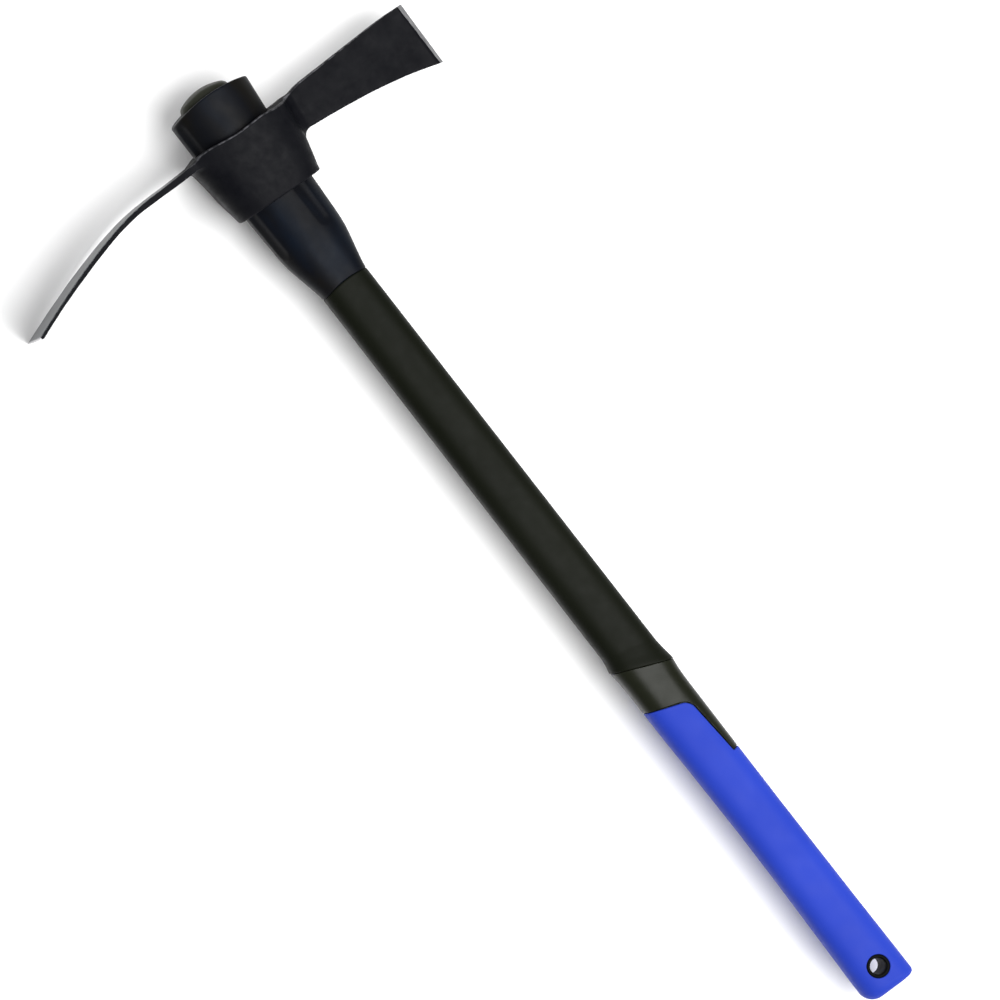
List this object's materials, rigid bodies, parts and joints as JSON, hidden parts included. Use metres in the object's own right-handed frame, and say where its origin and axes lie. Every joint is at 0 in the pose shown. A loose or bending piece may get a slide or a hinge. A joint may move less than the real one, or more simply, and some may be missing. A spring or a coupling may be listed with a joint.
{
  "type": "cutter mattock",
  "caption": "Cutter mattock: forged head with an axe blade and a curled adze, slid onto the flared eye sleeve of a long composite handle with a soft grip and a hang hole.",
  "frame": {"origin": "centre of the hang hole, half way through the grip", "axes": "+X up the handle towards the head, +Y towards the adze (the axe blade points along -Y), +Z out of the plane of the axe blade along the hang hole"},
  "size_m": [0.912, 0.3994, 0.088],
  "materials": {
    "forged_steel": "matte blue-black paint over forged steel, bare ground edges",
    "sleeve_plastic": "satin blue-black moulded plastic",
    "cap_plastic": "satin olive-black moulded plastic",
    "shaft_plastic": "satin olive-black composite jacket",
    "glass_fibre": "cut pultruded glass fibre",
    "base_plastic": "semi-gloss olive-black moulded plastic",
    "grip_rubber": "matte blue soft-touch elastomer",
    "bush_plastic": "black moulded plastic"
  },
  "bodies": {
    "handle": {"eye_sleeve": "sleeve_plastic", "top_cap": "cap_plastic", "shaft_jacket": "shaft_plastic", "core_rod": "glass_fibre", "grip_base": "base_plastic", "grip_cover": "grip_rubber", "hang_bush": "bush_plastic", "bush_ring": "bush_plastic"},
    "head": {"mattock_head": "forged_steel"}
  },
  "joints": [
    {"name": "head_slide", "type": "slide", "parent": "handle", "child": "head", "axis": [-1, 0, 0], "range_m": [0, 0.9]}
  ]
}
